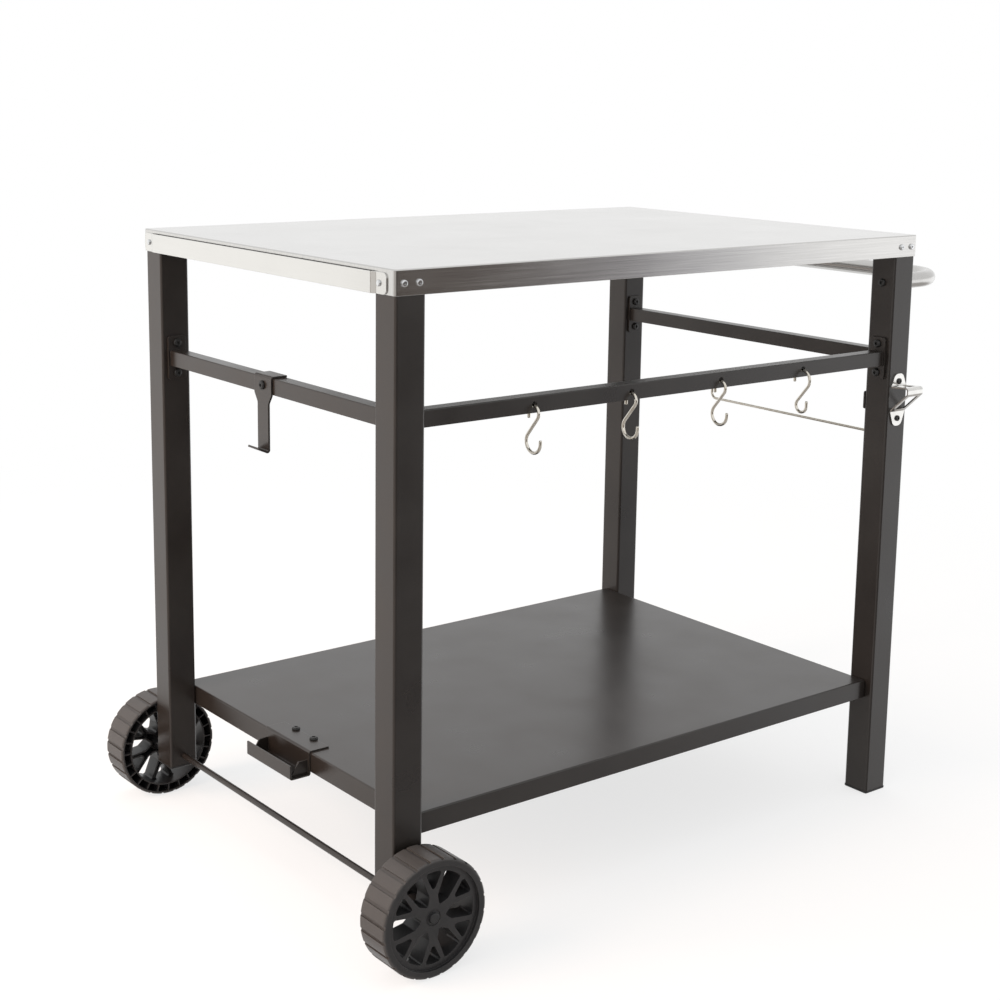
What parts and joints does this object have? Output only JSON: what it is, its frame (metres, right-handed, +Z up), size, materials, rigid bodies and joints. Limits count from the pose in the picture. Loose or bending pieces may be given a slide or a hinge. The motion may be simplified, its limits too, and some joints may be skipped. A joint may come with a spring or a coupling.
{
  "type": "grill prep table",
  "caption": "Wheeled grill prep table: stainless worktop on black tube legs with a low shelf, push handle, hanging hooks, bottle opener, towel rod and gas tank fittings.",
  "frame": {"origin": "on the floor under the middle of the whole table, wheels and handle included", "axes": "+X along the worktop to the push handle, +Y from the hook rail to the rear, +Z up"},
  "size_m": [1.021, 0.6904, 0.8],
  "materials": {
    "stainless_sheet": "brushed stainless sheet",
    "stainless_tube": "satin stainless tube",
    "black_powder_coat": "satin black powder coat on steel",
    "galvanised_sheet": "galvanised steel sheet",
    "bright_wire": "nickel-plated wire",
    "bright_strip": "polished plated steel strip",
    "black_plastic": "moulded black plastic",
    "wheel_plastic": "moulded black plastic with a fine texture",
    "black_bolt": "black oxide steel",
    "zinc_steel": "zinc-plated steel"
  },
  "bodies": {
    "table": {"table_top": "stainless_sheet", "end_strip": "stainless_sheet", "push_handle": "stainless_tube", "leg_front_left": "black_powder_coat", "leg_rear_left": "black_powder_coat", "leg_front_right": "black_powder_coat", "leg_rear_right": "black_powder_coat", "rail_front": "black_powder_coat", "rail_left": "black_powder_coat", "rail_right": "black_powder_coat", "bottom_shelf": "black_powder_coat", "shelf_stiffeners": "black_powder_coat", "tank_hook": "black_powder_coat", "tank_bracket": "black_powder_coat", "towel_rod_plate": "black_powder_coat", "axle_rod": "black_powder_coat", "top_stiffeners": "galvanised_sheet", "towel_rod": "bright_wire", "bottle_opener": "bright_strip", "leg_plug_front": "black_plastic", "leg_plug_rear": "black_plastic", "foot_front": "black_plastic", "foot_rear": "black_plastic", "axle_caps": "black_plastic", "rail_bolts": "black_bolt", "shelf_bolts": "black_bolt", "handle_bolts": "black_bolt", "opener_screws": "black_bolt", "towel_screws": "black_bolt", "tank_hook_bolt": "black_bolt", "bracket_bolts": "black_bolt", "top_screws": "zinc_steel", "strip_rivets": "zinc_steel", "leg_inserts": "zinc_steel", "handle_plugs": "zinc_steel", "axle_spacers": "zinc_steel", "tank_hook_nut": "zinc_steel", "bracket_nuts": "zinc_steel"},
    "wheel_front": {"wheel_front": "wheel_plastic"},
    "wheel_rear": {"wheel_rear": "wheel_plastic"},
    "hook_1": {"s_hook_1": "bright_wire"},
    "hook_2": {"s_hook_2": "bright_wire"},
    "hook_3": {"s_hook_3": "bright_wire"},
    "hook_4": {"s_hook_4": "bright_wire"}
  },
  "joints": [
    {"name": "wheel_front_spin", "type": "hinge", "parent": "table", "child": "wheel_front", "pos_m": [-0.4395, -0.3212, 0.071], "axis": [0, 1, 0], "continuous": true},
    {"name": "wheel_rear_spin", "type": "hinge", "parent": "table", "child": "wheel_rear", "pos_m": [-0.4395, 0.3212, 0.071], "axis": [0, 1, 0], "continuous": true},
    {"name": "hook_1_swing", "type": "hinge", "parent": "table", "child": "hook_1", "pos_m": [-0.257, -0.27975, 0.62955], "axis": [0, 1, 0], "range_deg": [-55, 55]},
    {"name": "hook_2_swing", "type": "hinge", "parent": "table", "child": "hook_2", "pos_m": [-0.105, -0.27975, 0.62955], "axis": [0, 1, 0], "range_deg": [-55, 55]},
    {"name": "hook_3_swing", "type": "hinge", "parent": "table", "child": "hook_3", "pos_m": [0.047, -0.27975, 0.62955], "axis": [0, 1, 0], "range_deg": [-55, 55]},
    {"name": "hook_4_swing", "type": "hinge", "parent": "table", "child": "hook_4", "pos_m": [0.199, -0.27975, 0.62955], "axis": [0, 1, 0], "range_deg": [-55, 55]}
  ]
}
